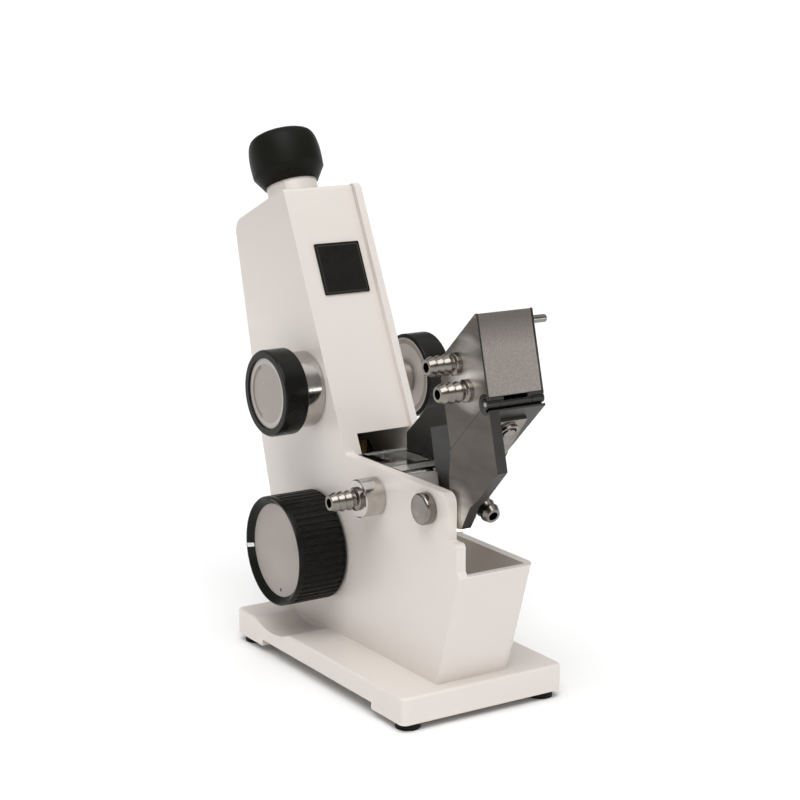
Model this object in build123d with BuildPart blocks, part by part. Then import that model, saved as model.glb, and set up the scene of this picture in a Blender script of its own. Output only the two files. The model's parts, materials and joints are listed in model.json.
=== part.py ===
"""Bench Abbe refractometer, millimetres, +Z up.

Origin: on the bench, under the middle of the base. +X is the operator's right (the knob side),
+Y points away from the operator (the prism side). The eyepiece leans towards -Y.
"""

from build123d import *
import math
import os

os.makedirs("parts", exist_ok=True)


def finish(builder, name, color):
    """Label a finished piece and write it to parts/."""
    builder.part.label = name
    builder.part.color = Color(*color)
    export_step(builder.part, "parts/" + name + ".step")


PAINT = (0.87, 0.84, 0.81)
BLACK = (0.11, 0.11, 0.10)
CHROME = (0.72, 0.70, 0.68)
STEEL = (0.42, 0.39, 0.36)
BRASS = (0.72, 0.60, 0.36)
GLASS = (0.70, 0.82, 0.86)

# ---------------------------------------------------------------- driving dimensions
BASE_X, BASE_Y = 83.0, 146.0
BASE_TOP = 15.5
FOOT_H = 3.5
RAIL_LOW = 6.5
DECK_T = 5.0

NEAR_X = 19.8  # outer face of the knob-side wall
FAR_X = -20.3  # outer face of the far side
SEAM_X = -16.3  # joint face of the far side cover
NEAR_WALL = 4.6
NEAR_IN = NEAR_X - NEAR_WALL
WALL = 3.5

WALL_TOP = 100.6  # top edge of the tall wall beside the prism
DECK_TOP = 98.6  # ledge that carries the glass window
RIM_Z = 66.5  # rim of the open front tray
FRONT_TILT = 25.4  # front face, degrees from vertical
SCOPE_TILT = 25.0  # telescope, degrees from vertical
BACKLASH = 0.15

COS, SIN = math.cos(math.radians(SCOPE_TILT)), math.sin(math.radians(SCOPE_TILT))
FRONT_COS, FRONT_SIN = math.cos(math.radians(FRONT_TILT)), math.sin(math.radians(FRONT_TILT))

UP_AXIS = Vector(0, -SIN, COS)  # along the telescope, towards the eye
ACROSS = Vector(0, COS, SIN)  # square to the telescope, towards the prism side
COMPENSATOR = Vector(0, -41.9, 124.8)  # where the dispersion shafts meet the telescope axis
EYE_FOOT = Vector(0, -85.2, 204.5)  # where the eyepiece axis leaves the housing
INDEX_AXIS = Vector(0, -30.5, 54.4)
CONDENSER = Vector(0, -29.4, 62.6)  # lamp-side lens of the scale
ROCKER = COMPENSATOR - UP_AXIS * 38
FRONT_TOP = Vector(0, -62.0, 214.4)
REFLECTOR_AXIS = Vector(0, 58.75, 91.6)
UNION_AXIS = Vector(0, 17.9, 87.7)

SLOPE = 43.7  # the plane where the two prisms meet, degrees above horizontal
ALONG = Vector(0, math.cos(math.radians(SLOPE)), math.sin(math.radians(SLOPE)))
OUTWARD = Vector(0, -ALONG.Z, ALONG.Y)
SLOPE_START = Vector(0, 66.9, 117.8)
HINGE_A = 33.6
HINGE = SLOPE_START + ALONG * HINGE_A
HINGE_R = 2.2
BOX_X = 14.0
NOSE_TILT = 14.36  # front face of the prism box, degrees from vertical
NOSE_UP = Vector(0, -math.sin(math.radians(NOSE_TILT)), math.cos(math.radians(NOSE_TILT)))
NOSE_OUT = Vector(0, NOSE_UP.Z, -NOSE_UP.Y)
BOX_TOP = Vector(0, 84.1, 177.6)
BOX_BACK = Vector(0, 57.4, 153.3)
CHEEK_TIP = Vector(0, 100.3, 114.3)

X_DIR = (1, 0, 0)


def yz(*vectors):
    """Points in the YZ sketch plane, from vectors or pairs."""
    return [(v.Y, v.Z) if isinstance(v, Vector) else v for v in vectors]


def slope_point(along, outward):
    return SLOPE_START + ALONG * along + OUTWARD * outward


def side_plane(x):
    """Sketch plane whose local x and y are the model's Y and Z."""
    return Plane(origin=(x, 0, 0), x_dir=(0, 1, 0), z_dir=X_DIR)


def shaft_plane(x, centre):
    """Plane square to X with its origin on a cross shaft."""
    return Plane(origin=(x, centre.Y, centre.Z), x_dir=(0, 1, 0), z_dir=X_DIR)


def scope_plane(s, foot=COMPENSATOR):
    """Plane square to the telescope, s above the foot point."""
    point = foot + UP_AXIS * s
    return Plane(origin=point, x_dir=X_DIR, z_dir=UP_AXIS)


def slab(x0, x1, points, radii=0.0):
    """Extrude a side outline between two X positions, into the builder in use."""
    with BuildSketch(side_plane(x0)) as outline:
        with BuildLine():
            FilletPolyline(*yz(*points), radius=radii, close=True)
        make_face()
    return extrude(outline.sketch, amount=x1 - x0)


def cut_slab(x0, x1, points, radii=0.0):
    with BuildSketch(side_plane(x0)) as outline:
        with BuildLine():
            FilletPolyline(*yz(*points), radius=radii, close=True)
        make_face()
    return extrude(outline.sketch, amount=x1 - x0, mode=Mode.SUBTRACT)


def disc(plane, radius, length, bore=0.0, mode=Mode.ADD):
    """A round bar or ring from a plane along its normal."""
    with BuildSketch(plane) as section:
        Circle(radius)
        if bore:
            Circle(bore, mode=Mode.SUBTRACT)
    return extrude(section.sketch, amount=length, mode=mode)


def drill(plane, radius, length):
    with BuildSketch(plane) as section:
        Circle(radius)
    return extrude(section.sketch, amount=length, mode=Mode.SUBTRACT)


def turned(plane, outline):
    """Revolve an outline of (radius, height) points about a plane's normal."""
    frame = Plane(origin=plane.origin, x_dir=plane.x_dir, z_dir=-plane.y_dir)
    with BuildSketch(frame) as half:
        with BuildLine():
            Polyline(*outline, close=True)
        make_face()
    return revolve(half.sketch, axis=Axis(plane.origin, plane.z_dir))


# ---------------------------------------------------------------- base
BASE_CORNER = 3.0
RAIL_END = 25.0
FEET = [(x, y) for x in (-34.5, 34.5) for y in (-66.0, 66.0)]
FOOT_R = 5.5
BASE_SCREWS = [(x, y) for x in (-12.6, 11.5) for y in (-46.0, 54.0)]
SCREW_R = 2.0
SCOOP_R = 38.0
SCOOP_DEPTH = 3.4
SCOOP_Y = -39.0

with BuildPart() as base_casting:
    with BuildSketch(Plane.XY.offset(FOOT_H)):
        RectangleRounded(BASE_X, BASE_Y, BASE_CORNER)
    extrude(amount=BASE_TOP - FOOT_H)
    with BuildSketch(Plane.XY.offset(FOOT_H)):
        RectangleRounded(BASE_X - 2 * WALL, BASE_Y - 2 * WALL, BASE_CORNER)
    extrude(amount=BASE_TOP - FOOT_H - DECK_T, mode=Mode.SUBTRACT)
    with BuildSketch(Plane.XY.offset(FOOT_H)):
        Rectangle(BASE_X + 2, BASE_Y - 2 * RAIL_END)
    extrude(amount=RAIL_LOW - FOOT_H, mode=Mode.SUBTRACT)
    with BuildSketch(Plane.XY.offset(FOOT_H)):
        with Locations(*FEET):
            Circle(6.5)
    extrude(amount=BASE_TOP - FOOT_H - 1)
    with BuildSketch(Plane.XY.offset(FOOT_H)):
        with Locations(*FEET):
            Circle(2.1)
    extrude(amount=6.5, mode=Mode.SUBTRACT)
    with BuildSketch(Plane.XY.offset(BASE_TOP - DECK_T)):
        with Locations(*BASE_SCREWS):
            Circle(SCREW_R + 0.1)
    extrude(amount=DECK_T, mode=Mode.SUBTRACT)
    fillet(base_casting.faces().sort_by(Axis.Z)[-1].outer_wire().edges(), 1.2)
    scoop_axis_z = BASE_TOP + SCOOP_R - SCOOP_DEPTH
    with BuildSketch(Plane(origin=(NEAR_X + 0.4, SCOOP_Y, scoop_axis_z), x_dir=(0, 1, 0), z_dir=X_DIR)):
        Circle(SCOOP_R)
    extrude(amount=BASE_X, mode=Mode.SUBTRACT)
finish(base_casting, "base_casting", PAINT)

with BuildPart() as rubber_feet:
    with BuildSketch(Plane.XY):
        with Locations(*FEET):
            Circle(FOOT_R)
    extrude(amount=FOOT_H)
    with BuildSketch(Plane.XY.offset(FOOT_H)):
        with Locations(*FEET):
            Circle(2.0)
    extrude(amount=6.0)
finish(rubber_feet, "rubber_feet", BLACK)

# ---------------------------------------------------------------- housing shell
NOSE_FOOT = Vector(0, 65.7, BASE_TOP)
NOSE_RIM = Vector(0, 82.0, RIM_Z)
TRAY_FLOOR = 40.0
BULKHEAD_Y = 23.5
BACK_FOOT = (-62.0, BASE_TOP)
BACK_MID = (-85.0, 92.0)
BACK_TOP = (-109.2, 194.0)
front_at = lambda z: FRONT_TOP.Y + (FRONT_TOP.Z - z) * FRONT_SIN / FRONT_COS

body_outline = [
    BACK_FOOT, BACK_MID, BACK_TOP, FRONT_TOP, (front_at(WALL_TOP), WALL_TOP),
    (73.4, WALL_TOP), (73.4, 80.5), (80.0, 80.5), (80.0, RIM_Z + 2.2), NOSE_RIM, NOSE_FOOT,
]
body_radii = [0, 30, 7, 2, 2.5, 5, 0.6, 2, 1.2, 2.5, 0]
core_outline = [
    (-61.0, BASE_TOP - WALL), BACK_MID, BACK_TOP, FRONT_TOP, (front_at(DECK_TOP), DECK_TOP),
    (BULKHEAD_Y, DECK_TOP), (BULKHEAD_Y, BASE_TOP - WALL),
]
nose_run = (NOSE_RIM - NOSE_FOOT)
nose_in = WALL * nose_run.length / nose_run.Z

COVER_Z = 97.0  # lower edge of the far side cover
COVER_LIP = 3.0  # the cover stands this far proud of the front face
TOP_RISE = (FRONT_TOP.Z - BACK_TOP[1]) / (FRONT_TOP.Y - BACK_TOP[0])
lip_y = COVER_LIP / (1 + TOP_RISE * FRONT_SIN / FRONT_COS)
back_at = lambda z: BACK_MID[0] + (z - BACK_MID[1]) * (BACK_TOP[0] - BACK_MID[0]) / (BACK_TOP[1] - BACK_MID[1])
cover_outline = [
    (back_at(COVER_Z), COVER_Z), BACK_TOP, (FRONT_TOP.Y + lip_y, FRONT_TOP.Z + lip_y * TOP_RISE),
    (front_at(COVER_Z) + COVER_LIP, COVER_Z),
]
COVER_SCREWS = [(-82.0, 104.0), (-101.0, 186.0), (-68.0, 204.0), (-21.5, 113.0), (-46.0, 165.0)]
bracket_outline = [(-4, 86), (26, 84), (46, 91), (56, 98), (65.2, 112), (65.2, 116.5), (59.8, 122.6),
                   (52.5, 130), (40, 131), (12, 122), (-4, 108)]
BRACKET_X = (SEAM_X, -10.0)
BRACKET_SCREWS = [(3.0, 90.5), (15.5, 89.5)]
BLOCK_SCREWS = [(56.0, 106.0), (53.0, 120.0)]


def round_corner(x, inwards, radius):
    """Round the upright front corner of the housing at one side."""
    corner = NOSE_FOOT - nose_run * 0.2
    side = Plane(origin=(x, corner.Y, corner.Z), x_dir=(inwards, 0, 0), z_dir=nose_run.normalized())
    depth = radius if side.y_dir.Y < 0 else -radius
    with BuildSketch(side) as cutter:
        with Locations((radius / 2, depth / 2)):
            Rectangle(radius, radius)
        with Locations((radius, depth)):
            Circle(radius, mode=Mode.SUBTRACT)
    extrude(cutter.sketch, amount=nose_run.length * 1.4, mode=Mode.SUBTRACT)

with BuildPart() as housing_shell:
    slab(FAR_X, NEAR_X, body_outline, body_radii)
    # far-front and near-front upright corners
    round_corner(FAR_X, 1, 6.5)
    round_corner(NEAR_X, -1, 2.5)
    # room for the far side cover
    cut_slab(FAR_X, SEAM_X,
             [(-120, COVER_Z), (-120, 230), (0, 230), (front_at(COVER_Z) + COVER_LIP, COVER_Z)])
    # inside of the body, open below and on the cover side
    with BuildSketch(side_plane(SEAM_X)):
        with BuildLine():
            Polyline(*yz(*core_outline), close=True)
        make_face()
        offset(amount=-WALL, kind=Kind.INTERSECTION, mode=Mode.REPLACE)
    extrude(amount=NEAR_IN - SEAM_X, mode=Mode.SUBTRACT)
    # channel beside the tall wall, over the window ledge and the tray
    cut_slab(FAR_X, NEAR_IN, [(front_at(DECK_TOP), DECK_TOP), (front_at(WALL_TOP + 9), WALL_TOP + 9),
                              (90, WALL_TOP + 9), (90, RIM_Z), (BULKHEAD_Y + 3, RIM_Z),
                              (BULKHEAD_Y - 3, DECK_TOP)])
    # the tray
    cut_slab(SEAM_X, NEAR_IN, [(BULKHEAD_Y, TRAY_FLOOR), (BULKHEAD_Y, RIM_Z + 5),
                               NOSE_RIM + Vector(0, -nose_in, 0) + nose_run * 0.1,
                               NOSE_FOOT + Vector(0, -nose_in, 0) + nose_run * 0.48], [0, 0, 0, 5])
    # hollow under the tray
    cut_slab(SEAM_X, NEAR_IN, [(BULKHEAD_Y, BASE_TOP), (BULKHEAD_Y, TRAY_FLOOR - WALL),
                               NOSE_FOOT + Vector(0, -nose_in, 0) + nose_run * 0.41,
                               NOSE_FOOT + Vector(0, -nose_in, 0)])
    # opening in the front face, above the window
    cut_slab(SEAM_X, 11.5,
             [(front_at(DECK_TOP) + 4, DECK_TOP - 0.1), (front_at(DECK_TOP) - 8, DECK_TOP - 0.1),
                            (front_at(108.5) - 8, 108.5), (front_at(108.5) + 4, 108.5)])
    # light opening under the window
    with BuildSketch(Plane.XY.offset(DECK_TOP - WALL - 1)):
        with Locations((0.5, 7.0)):
            Rectangle(17, 22)
    extrude(amount=WALL + 2, mode=Mode.SUBTRACT)
    # slot for the prism bracket, through the ledge and the bulkhead
    cut_slab(BRACKET_X[0], BRACKET_X[1] + 0.1, bracket_outline)
    for y, z in BRACKET_SCREWS:
        drill(shaft_plane(-19.2, Vector(0, y, z)), 1.55, 3)
    # posts for the far side cover
    for y, z in COVER_SCREWS:
        disc(shaft_plane(SEAM_X, Vector(0, y, z)), 4.0, 4.5)
        drill(shaft_plane(SEAM_X, Vector(0, y, z)), 1.55, 4.2)
    # screw posts for the base
    with BuildSketch(Plane.XY.offset(BASE_TOP)):
        with Locations(*BASE_SCREWS):
            Circle(4.2)
    extrude(amount=12)
    with BuildSketch(Plane.XY.offset(BASE_TOP)):
        with Locations(*BASE_SCREWS):
            Circle(SCREW_R + 0.05)
    extrude(amount=9, mode=Mode.SUBTRACT)
    # bores
    drill(shaft_plane(0, COMPENSATOR), 5.05, 30)
    drill(shaft_plane(0, INDEX_AXIS), 5.05, 30)
    drill(shaft_plane(0, UNION_AXIS), 4.05, 30)
    drill(shaft_plane(0, REFLECTOR_AXIS), 2.05, 30)
    drill(shaft_plane(14, ROCKER), 3.05, 4.2)
    drill(shaft_plane(-19.3, ROCKER), 3.05, 4.2)
    drill(scope_plane(-20, EYE_FOOT), 12.05, 30)
    drill(shaft_plane(FAR_X - 1, CONDENSER), 6.55, 6)
    drill(Plane(origin=COMPENSATOR + UP_AXIS * 28 - ACROSS * 16, x_dir=X_DIR, z_dir=-ACROSS), 2.0, 40)
finish(housing_shell, "housing_shell", PAINT)


# ---------------------------------------------------------------- fixed body parts
with BuildPart() as side_cover:
    slab(FAR_X, SEAM_X, cover_outline, [0, 7, 3, 3.2])
    drill(shaft_plane(FAR_X - 1, COMPENSATOR), 5.05, 6)
    for y, z in COVER_SCREWS:
        drill(shaft_plane(FAR_X - 1, Vector(0, y, z)), 1.7, 6)
    fillet(side_cover.faces().sort_by(Axis.X)[0].outer_wire().edges(), 1.0)
finish(side_cover, "side_cover", PAINT)

PLATE_X = (-12.6, 11.0)
PLATE_Z = (167.2, 189.2)
PLATE_T = 0.8
front_plane = Plane(origin=(0, front_at(PLATE_Z[0]), PLATE_Z[0]), x_dir=(-1, 0, 0),
                    z_dir=(0, FRONT_COS, FRONT_SIN))
with BuildPart() as name_plate:
    with BuildSketch(front_plane):
        plate_height = (PLATE_Z[1] - PLATE_Z[0]) / FRONT_COS
        with Locations((-(PLATE_X[0] + PLATE_X[1]) / 2, plate_height / 2)):
            RectangleRounded(PLATE_X[1] - PLATE_X[0], plate_height, 0.6)
    extrude(amount=PLATE_T)
finish(name_plate, "name_plate", BLACK)

# ---------------------------------------------------------------- prism bracket and window
with BuildPart() as prism_bracket:
    slab(BRACKET_X[0], BRACKET_X[1], bracket_outline)
    for y, z in BRACKET_SCREWS:
        drill(shaft_plane(SEAM_X - 1, Vector(0, y, z)), 1.6, 8)
    for y, z in BLOCK_SCREWS:
        drill(shaft_plane(SEAM_X - 1, Vector(0, y, z)), 1.6, 8)
finish(prism_bracket, "prism_bracket", BLACK)

with BuildPart() as case_screws:
    for x, y in BASE_SCREWS:
        disc(Plane(origin=(x, y, BASE_TOP - DECK_T - 3)), 3.6, 3)
        disc(Plane(origin=(x, y, BASE_TOP - DECK_T)), SCREW_R, DECK_T + 8)
    with BuildSketch(Plane.XY.offset(BASE_TOP - DECK_T - 3)):
        with Locations(*BASE_SCREWS):
            RegularPolygon(1.9, 6)
    extrude(amount=1.6, mode=Mode.SUBTRACT)
    for y, z in COVER_SCREWS:
        disc(shaft_plane(FAR_X - 1.8, Vector(0, y, z)), 3.0, 1.8)
        disc(shaft_plane(FAR_X, Vector(0, y, z)), 1.5, 7.8)
        with BuildSketch(shaft_plane(FAR_X - 1.8, Vector(0, y, z))) as slot:
            Rectangle(6.2, 0.8)
        extrude(slot.sketch, amount=0.9, mode=Mode.SUBTRACT)
    for y, z in BRACKET_SCREWS:
        disc(shaft_plane(BRACKET_X[1], Vector(0, y, z)), 2.8, 2.4)
        disc(shaft_plane(-19.0, Vector(0, y, z)), 1.5, BRACKET_X[1] + 19.0)
    for y, z in BLOCK_SCREWS:
        disc(shaft_plane(SEAM_X - 2.4, Vector(0, y, z)), 2.8, 2.4)
        disc(shaft_plane(SEAM_X, Vector(0, y, z)), 1.5, 12)
finish(case_screws, "case_screws", STEEL)

with BuildPart() as window_glass:
    with BuildSketch(Plane.XY.offset(DECK_TOP)):
        with Locations((2.55, 12.25)):
            Rectangle(24.9, 36.5)
    extrude(amount=2.0)
    chamfer(window_glass.edges().group_by(Axis.Z)[-1], 0.5)
finish(window_glass, "window_glass", GLASS)

# ---------------------------------------------------------------- refracting prism seat
PLATE_H = 4.0
SEAT_GAP = 0.15
BARREL_X = 8.0
front_edge_a = lambda h: HINGE_A + (HINGE_R - h * NOSE_OUT.dot(OUTWARD)) / NOSE_OUT.dot(ALONG)
rear_block = [(66.2, 117.5), (67.5, 106), (58, 97), (48, 104), (44, 122), (58, 126)]
light_tunnel = [(40, 97), (40, 108), (66, 113), (71, 103)]
cheek = [slope_point(0, 0), slope_point(front_edge_a(0), 0), CHEEK_TIP, (86.5, 100), (81, 95.8),
         (74.7, 84.9), (68, 84.9), (65.6, 105.1)]
prism_section = [slope_point(a, h) for a, h in ((26, 0), (26, -3.8), (4, -6.5), (-5, -10), (-8, -6), (6, 0))]
hinge_relief = 3.3
relief_back = 1.3
DROOP = math.radians(22)
drain_dir = Vector(0, math.cos(DROOP), -math.sin(DROOP))
drain_root = Vector(2.0, 67.0, 96.0)

with BuildPart() as fixed_seat:
    slab(-BOX_X, BOX_X, [slope_point(-2, 0), slope_point(front_edge_a(0), 0),
                         slope_point(front_edge_a(-PLATE_H), -PLATE_H),
                         slope_point(-2, -PLATE_H)])
    slab(9.0, BOX_X, cheek, [0, 0, 0.8, 0, 0, 0.8, 0.8, 0])
    slab(BRACKET_X[1], 9.0, rear_block)
    cut_slab(-5.1, 5.1, light_tunnel)
    cut_slab(-5.05, 5.05, prism_section)
    # swing room for the incident seat, left solid behind the fixed barrels
    cut_slab(-BOX_X - 1, BOX_X + 1, [slope_point(HINGE_A - relief_back, 1), slope_point(HINGE_A + 5, 1),
                                     slope_point(HINGE_A + 5, -hinge_relief),
                                     slope_point(HINGE_A - relief_back, -hinge_relief)])
    drill(shaft_plane(-BARREL_X - 0.15, HINGE), HINGE_R + 0.4, 2 * BARREL_X + 0.3)
    for x in (-BOX_X, BARREL_X + 0.15):
        disc(shaft_plane(x, HINGE), HINGE_R, BOX_X - BARREL_X - 0.15)
    drill(shaft_plane(-BOX_X - 1, HINGE), 1.0, 2 * BOX_X + 2)
    for y, z in BLOCK_SCREWS:
        drill(shaft_plane(BRACKET_X[1], Vector(0, y, z)), 1.55, 7)
    lock_hole = slope_point(4, -PLATE_H - 1)
    drill(Plane(origin=(-10.5, lock_hole.Y, lock_hole.Z), x_dir=X_DIR, z_dir=OUTWARD), 1.5, PLATE_H + 2)
    drill(Plane(origin=drain_root, x_dir=X_DIR, z_dir=-drain_dir), 3.2, 5)
finish(fixed_seat, "fixed_seat", STEEL)

with BuildPart() as refracting_prism:
    slab(-5.0, 5.0, prism_section)
finish(refracting_prism, "refracting_prism", GLASS)

with BuildPart() as hinge_pin:
    disc(shaft_plane(-BOX_X, HINGE), 0.95, 2 * BOX_X)
finish(hinge_pin, "hinge_pin", CHROME)

CLAMP_X = 8.0
button_foot = slope_point(20.8, -5.5)
button_plane = Plane(origin=(-1, button_foot.Y, button_foot.Z), x_dir=X_DIR, z_dir=-OUTWARD)
with BuildPart() as prism_clamp:
    slab(-CLAMP_X, CLAMP_X, [slope_point(a, h) for a, h in ((27, -PLATE_H), (27, -5.5), (3, -8.4),
                                                            (3, -PLATE_H))])
    cut_slab(-5.1, 5.1, [slope_point(a, h) for a, h in ((28, 0), (28, -3.8), (2, -7.0), (2, 0))])
    disc(button_plane, 4.6, 1.9, bore=3.4)
    disc(button_plane, 2.6, 2.4)
finish(prism_clamp, "prism_clamp", CHROME)

def hose_spigot(plane, collar=4.5):
    """Barbed hose end, 15 mm long, bored through."""
    turned(plane, [(2.0, 0), (collar, 0), (collar, 2.2), (3.4, 3.0), (3.4, 5.0), (4.5, 5.2), (3.5, 7.6),
                   (3.4, 8.4),
                   (4.5, 8.6), (3.5, 11.0), (3.4, 11.8), (4.4, 12.0), (3.2, 15.0), (2.0, 15.0)])


UNION_TIP = 43.9
SPIGOT = 15.0
with BuildPart() as fixed_spigots:
    hose_spigot(Plane(origin=drain_root, x_dir=X_DIR, z_dir=drain_dir))
    with BuildSketch(Plane(origin=drain_root, x_dir=X_DIR, z_dir=-drain_dir)) as elbow:
        Circle(3.2)
    extrude(elbow.sketch, amount=5)
    hose_spigot(shaft_plane(UNION_TIP - SPIGOT, UNION_AXIS), collar=5.2)
finish(fixed_spigots, "fixed_spigots", CHROME)

# ---------------------------------------------------------------- chrome fittings on the near wall
with BuildPart() as union_collar:
    disc(shaft_plane(NEAR_X, UNION_AXIS), 8.4, 10.1)
    chamfer(union_collar.edges().filter_by(GeomType.CIRCLE), 0.5)
    disc(shaft_plane(NEAR_IN, UNION_AXIS), 4.0, NEAR_WALL)
    for turn in (35, 215):
        hole = UNION_AXIS + Vector(0, math.cos(math.radians(turn)), math.sin(math.radians(turn))) * 6.0
        drill(shaft_plane(NEAR_X + 8.0, hole), 0.9, 3)
    drill(shaft_plane(UNION_TIP - SPIGOT, UNION_AXIS), 5.2, 2)
finish(union_collar, "union_collar", CHROME)

# ---------------------------------------------------------------- scale optics
with BuildPart() as condenser_bezel:
    disc(shaft_plane(FAR_X - 1.2, CONDENSER), 7.6, 1.2, bore=4.5)
    disc(shaft_plane(FAR_X, CONDENSER), 6.5, SEAM_X - FAR_X, bore=4.5)
finish(condenser_bezel, "condenser_bezel", CHROME)

READER_FOOT = Vector(0, -61.8, 115.5)
READER_DIR = Vector(0, -0.522, 0.853)
mirror_centre = Vector(0, CONDENSER.Y, CONDENSER.Z - 1)
mirror_plane = Plane(origin=mirror_centre, x_dir=(0, 0.853, 0.522), z_dir=READER_DIR - Vector(1, 0, 0))
with BuildPart() as scale_mirror_mount:
    with BuildSketch(Plane.XY.offset(BASE_TOP)):
        with Locations((0, CONDENSER.Y)):
            Rectangle(12, 11)
    extrude(amount=mirror_centre.Z + 8 - BASE_TOP)
    with BuildSketch(mirror_plane.offset(-1.0)):
        Rectangle(40, 40)
    extrude(amount=30, mode=Mode.SUBTRACT)
finish(scale_mirror_mount, "scale_mirror_mount", BLACK)

with BuildPart() as scale_mirror:
    with BuildSketch(mirror_plane.offset(-1.0)):
        Rectangle(10, 12)
    extrude(amount=1.0)
finish(scale_mirror, "scale_mirror", GLASS)

reader_plane = Plane(origin=READER_FOOT, x_dir=X_DIR, z_dir=READER_DIR)
with BuildPart() as reading_tube:
    disc(reader_plane, 5.0, 34)
    with BuildSketch(shaft_plane(2.0, READER_FOOT + READER_DIR * 17)) as arm:
        with Locations(Location((0, 0), math.degrees(math.atan2(READER_DIR.Z, READER_DIR.Y)))):
            Rectangle(18, 7)
    extrude(arm.sketch, amount=NEAR_IN - 2.0)
    drill(reader_plane, 4.0, 34)
finish(reading_tube, "reading_tube", BLACK)

with BuildPart() as scale_lenses:
    disc(shaft_plane(FAR_X, CONDENSER), 4.5, 2.6)
    turned(reader_plane.offset(10), [(0, -1.4), (2.6, -1.0), (4.0, 0), (4.0, 1.6), (2.6, 2.6), (0, 3.0)])
finish(scale_lenses, "scale_lenses", GLASS)

# ---------------------------------------------------------------- dispersion compensator
CELL_R = 13.0
RING_NEAR, RING_FAR = 5.2, 8.2
CELL_END = 17.0
SHELL_END = 18.0
with BuildPart() as compensator_housing:
    disc(scope_plane(-SHELL_END), 15.0, 2 * SHELL_END, bore=CELL_R + 0.1)
    drill(shaft_plane(-16, COMPENSATOR), 6.2, 32)
    for s in (-14.0, 14.0):
        with BuildSketch(shaft_plane(13.5, COMPENSATOR + UP_AXIS * s)) as pad:
            Rectangle(5.4, 5.4)
            Circle(1.5, mode=Mode.SUBTRACT)
        extrude(pad.sketch, amount=NEAR_IN - 13.5)
finish(compensator_housing, "compensator_housing", BLACK)

RING_TEETH = 32


def prism_ring(direction):
    """Crown-toothed ring that carries one compensating prism, on one side of the cross shafts."""
    low = RING_NEAR if direction > 0 else -RING_FAR
    disc(scope_plane(low), 12.6, RING_FAR - RING_NEAR, bore=8.5)
    with BuildSketch(scope_plane(RING_FAR if direction > 0 else -CELL_END)) as body:
        Circle(CELL_R)
        Rectangle(11.2, 11.2, mode=Mode.SUBTRACT)
    extrude(body.sketch, amount=CELL_END - RING_FAR)
    with BuildSketch(scope_plane(RING_NEAR - 1 if direction > 0 else -RING_NEAR - 0.6)) as grooves:
        with PolarLocations(10.6, RING_TEETH):
            Rectangle(5.5, 0.9)
    extrude(grooves.sketch, amount=1.6, mode=Mode.SUBTRACT)


with BuildPart() as upper_prism_ring:
    prism_ring(1)
finish(upper_prism_ring, "upper_prism_ring", BRASS)

with BuildPart() as lower_prism_ring:
    prism_ring(-1)
finish(lower_prism_ring, "lower_prism_ring", BRASS)

with BuildPart() as upper_amici_prism:
    with BuildSketch(scope_plane(8.6)):
        Rectangle(11.0, 11.0)
    extrude(amount=8)
finish(upper_amici_prism, "upper_amici_prism", GLASS)

with BuildPart() as lower_amici_prism:
    with BuildSketch(scope_plane(-16.6)):
        Rectangle(11.0, 11.0)
    extrude(amount=8)
finish(lower_amici_prism, "lower_amici_prism", GLASS)

# ---------------------------------------------------------------- telescope
BARREL_R, BARREL_BORE = 12.0, 10.5
BARREL_TOP = 57.0
PRISM_CELL_TOP = 65.5
with BuildPart() as telescope_barrel:
    disc(scope_plane(SHELL_END), 15.0, 2.0, bore=BARREL_BORE)
    disc(scope_plane(SHELL_END), BARREL_R, BARREL_TOP - SHELL_END, bore=BARREL_BORE)
    screw_seat = COMPENSATOR + UP_AXIS * 28.0
    screw_plane = Plane(origin=screw_seat, x_dir=X_DIR, z_dir=-ACROSS)
    drill(screw_plane, 1.55, 16)
finish(telescope_barrel, "telescope_barrel", BLACK)

with BuildPart() as objective_lens:
    turned(scope_plane(27.5), [(0, -1.9), (5.5, -1.5), (10.45, 0), (10.45, 2.6), (5.5, 3.6), (0, 3.9)])
finish(objective_lens, "objective_lens", GLASS)

with BuildPart() as calibration_screw:
    disc(screw_plane.offset(10.7), 1.5, 8.0)
    with BuildSketch(screw_plane.offset(18.0)):
        Rectangle(3.2, 0.6)
    extrude(amount=1.0, mode=Mode.SUBTRACT)
finish(calibration_screw, "calibration_screw", STEEL)

SHIFT = (EYE_FOOT - COMPENSATOR).dot(ACROSS)
with BuildPart() as prism_cell:
    with BuildSketch(scope_plane(BARREL_TOP)):
        with Locations((0, -3.0)):
            Rectangle(24, 32)
    extrude(amount=PRISM_CELL_TOP - BARREL_TOP)
    with BuildSketch(scope_plane(BARREL_TOP)):
        with Locations((0, SHIFT / 2)):
            Rectangle(14.2, 19.6)
    extrude(amount=PRISM_CELL_TOP - BARREL_TOP, mode=Mode.SUBTRACT)
finish(prism_cell, "prism_cell", BLACK)

with BuildPart() as diverting_prism:
    with BuildSketch(shaft_plane(-7.0, COMPENSATOR + UP_AXIS * BARREL_TOP)) as rhomb:
        with BuildLine():
            corners = [ACROSS * 7.0, ACROSS * (-4.0 + SHIFT), ACROSS * (SHIFT - 7.0) + UP_AXIS * 8.4,
                       ACROSS * 4.0 + UP_AXIS * 8.4]
            Polyline(*yz(*corners), close=True)
        make_face()
    extrude(rhomb.sketch, amount=14.0)
finish(diverting_prism, "diverting_prism", GLASS)

# ---------------------------------------------------------------- eyepiece
EYE_LOW, EYE_HIGH = -25.0, 14.0
eye = lambda height: scope_plane(height, EYE_FOOT)
with BuildPart() as eyepiece_tube:
    disc(eye(EYE_LOW), BARREL_R, EYE_HIGH - EYE_LOW, bore=BARREL_BORE)
    chamfer(eyepiece_tube.edges().filter_by(GeomType.CIRCLE).group_by(Axis(EYE_FOOT, UP_AXIS))[-1], 0.4)
finish(eyepiece_tube, "eyepiece_tube", PAINT)

with BuildPart() as reticle:
    disc(eye(-9.0), BARREL_BORE, 1.6)
finish(reticle, "reticle", GLASS)

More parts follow.
